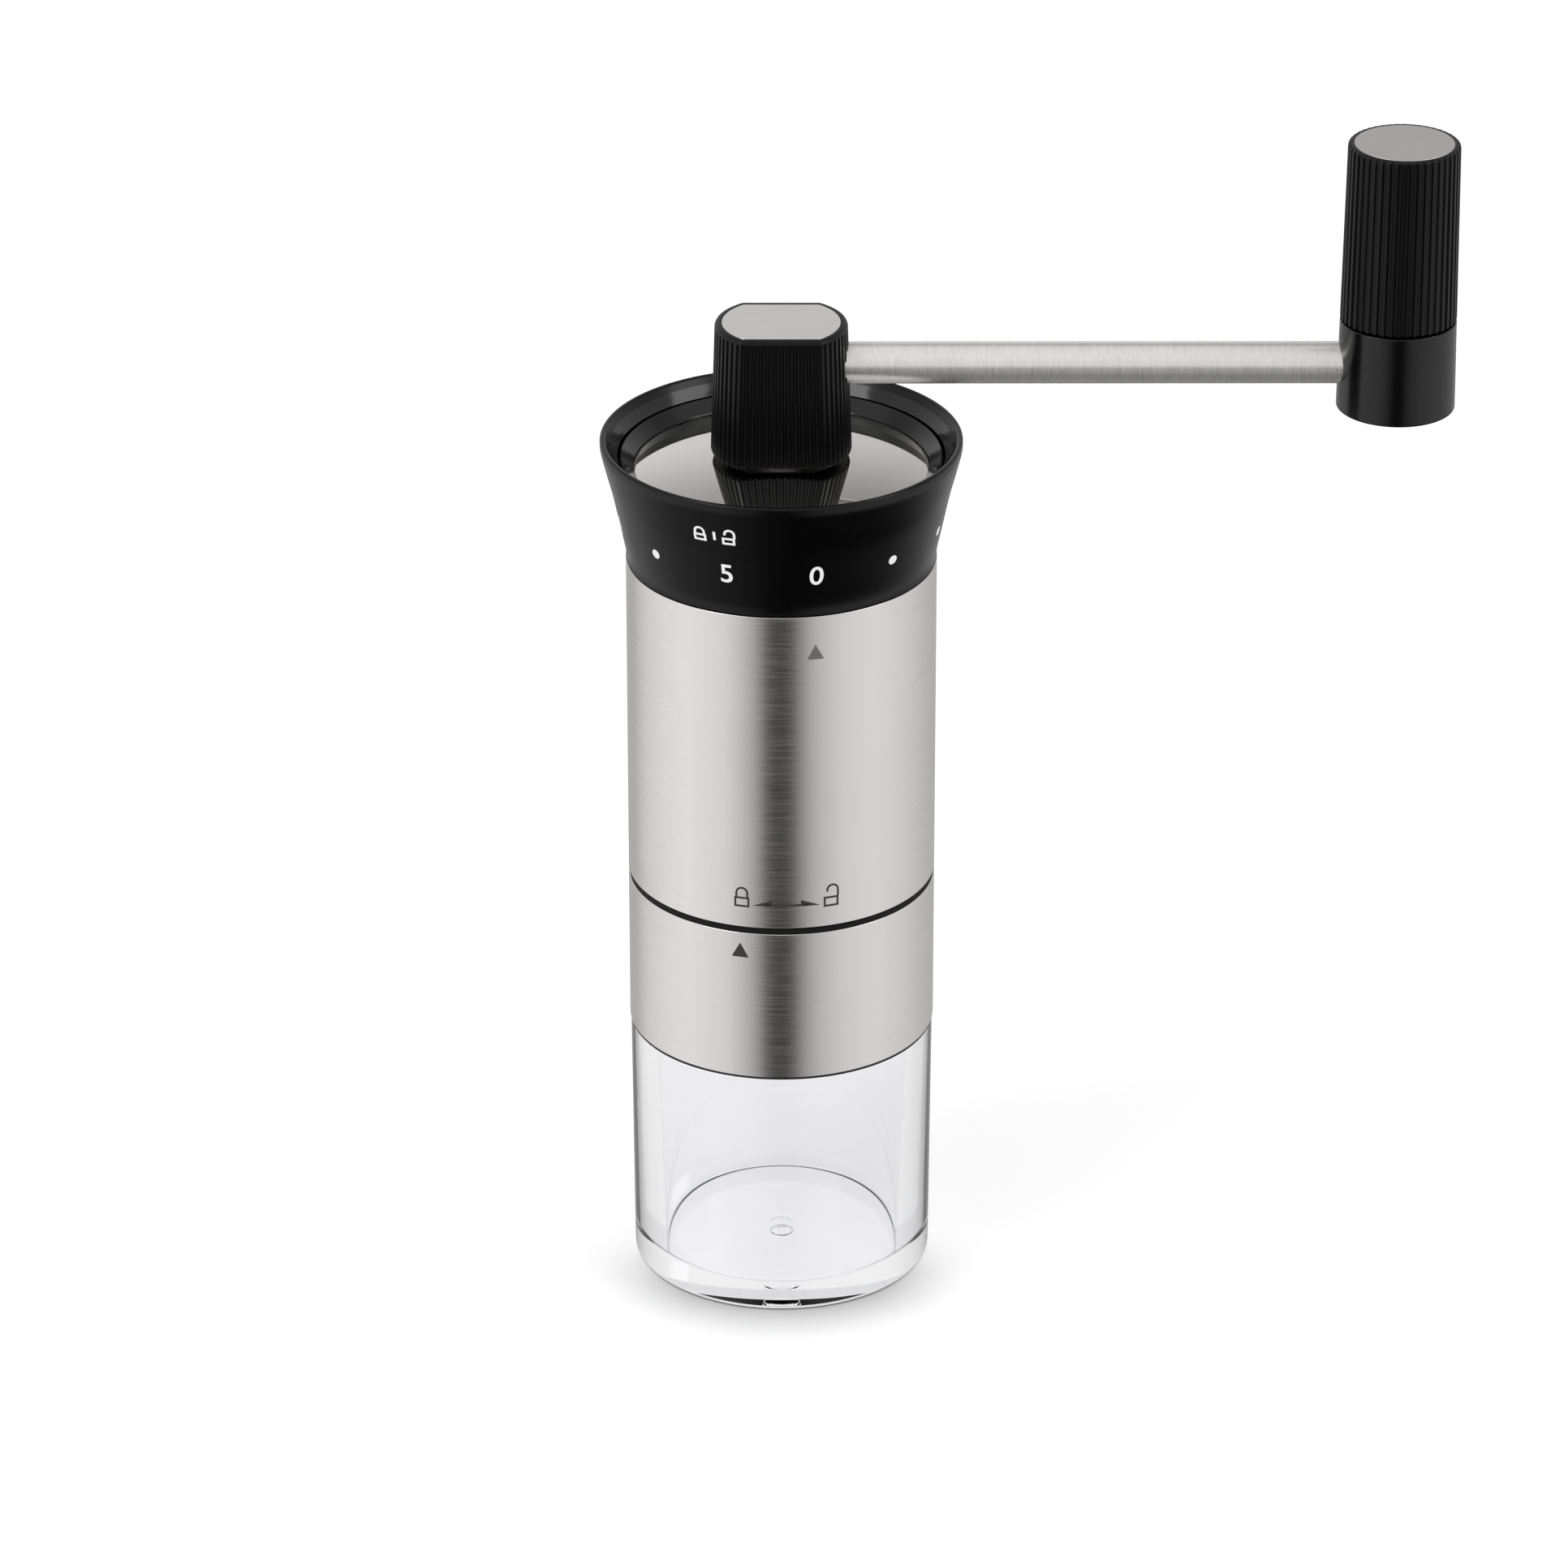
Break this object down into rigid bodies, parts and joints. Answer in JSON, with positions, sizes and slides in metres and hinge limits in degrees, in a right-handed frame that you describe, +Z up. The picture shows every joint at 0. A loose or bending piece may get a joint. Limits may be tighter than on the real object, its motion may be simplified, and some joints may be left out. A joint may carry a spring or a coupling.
{
  "type": "hand crank coffee grinder",
  "caption": "Hand crank coffee grinder: clear cup on a bayonet, brushed steel body, flared black grind ring, domed steel lid and a lift-off crank with a ribbed knob.",
  "frame": {"origin": "centre of the cup's foot, on the surface that the grinder stands on", "axes": "+Z up along the drive shaft, +X along the crank arm at rest, the locks and the grind ring's pointer face -Y"},
  "size_m": [0.1498, 0.0638, 0.2155],
  "materials": {
    "clear_cup": "clear moulded acrylic, polished",
    "brushed_steel": "stainless steel brushed around the body",
    "satin_steel": "stainless steel, satin",
    "polished_steel": "stainless steel, mirror polished",
    "plain_steel": "plain turned or stamped steel",
    "ring_black": "satin black with white numbers",
    "gloss_black": "black, semi-gloss",
    "black_plastic": "black, moulded",
    "grip_rubber": "black rubber, ribbed",
    "seal_rubber": "black silicone",
    "white_plastic": "natural bearing plastic",
    "brass": "plain brass",
    "ceramic": "fired ceramic, unglazed"
  },
  "bodies": {
    "housing": {"body_sleeve": "brushed_steel", "inner_frame": "black_plastic", "ring_burr": "ceramic", "bean_funnel": "black_plastic", "lower_bridge": "plain_steel", "lower_bush": "brass", "bridge_screws": "plain_steel", "ring_clip": "plain_steel"},
    "dial": {"grind_ring": "ring_black"},
    "adjuster": {"adjuster": "plain_steel", "upper_bush": "brass"},
    "drive": {"drive_shaft": "plain_steel", "shaft_clips": "plain_steel", "cone_burr": "ceramic", "burr_washer": "plain_steel", "burr_nut": "plain_steel"},
    "crank": {"drive_stem": "plain_steel", "stem_clip": "plain_steel", "hub_screws": "plain_steel", "hub_core": "plain_steel", "hub_shell": "grip_rubber", "hub_plate": "satin_steel", "crank_arm": "satin_steel", "grub_screw": "plain_steel", "knob_collar": "gloss_black", "knob_axle": "plain_steel"},
    "knob": {"knob_core": "black_plastic", "knob_grip": "grip_rubber", "knob_disc": "satin_steel"},
    "seal": {"lid_seal": "seal_rubber"},
    "lid": {"lid_frame": "gloss_black", "lid_plate": "polished_steel", "lid_bush": "white_plastic"},
    "joint": {"joint_seal": "seal_rubber"},
    "container": {"collar": "brushed_steel", "collar_liner": "black_plastic", "cup": "clear_cup"}
  },
  "joints": [
    {"name": "dial_turn", "type": "hinge", "parent": "housing", "child": "dial", "pos_m": [0, 0, 0.145], "axis": [0, 0, -1], "range_deg": [0, 328.6]},
    {"name": "grind_adjust", "type": "slide", "parent": "housing", "child": "adjuster", "axis": [0, 0, -1], "range_m": [0, 0.00073022]},
    {"name": "crank_turn", "type": "hinge", "parent": "adjuster", "child": "drive", "pos_m": [0, 0, 0.14], "axis": [0, 0, 1], "continuous": true},
    {"name": "crank_lift", "type": "slide", "parent": "drive", "child": "crank", "axis": [0, 0, 1], "range_m": [0, 0.04]},
    {"name": "knob_spin", "type": "hinge", "parent": "crank", "child": "knob", "pos_m": [0.1075, 0, 0.195], "axis": [0, 0, 1], "continuous": true},
    {"name": "lid_lift", "type": "slide", "parent": "dial", "child": "seal", "axis": [0, 0, 1], "range_m": [0, 0.04]},
    {"name": "lid_turn", "type": "hinge", "parent": "seal", "child": "lid", "pos_m": [0, 0, 0.151], "axis": [0, 0, -1], "range_deg": [0, 11]},
    {"name": "container_drop", "type": "slide", "parent": "housing", "child": "joint", "axis": [0, 0, -1], "range_m": [0, 0.06]},
    {"name": "container_turn", "type": "hinge", "parent": "joint", "child": "container", "pos_m": [0, 0, 0.07], "axis": [0, 0, 1], "range_deg": [0, 34.2]}
  ],
  "couplings": [
    {"joint": "dial_turn", "follows": "grind_adjust", "rad_per_m": 7854},
    {"joint": "lid_lift", "follows": "crank_lift", "ratio": 1}
  ]
}
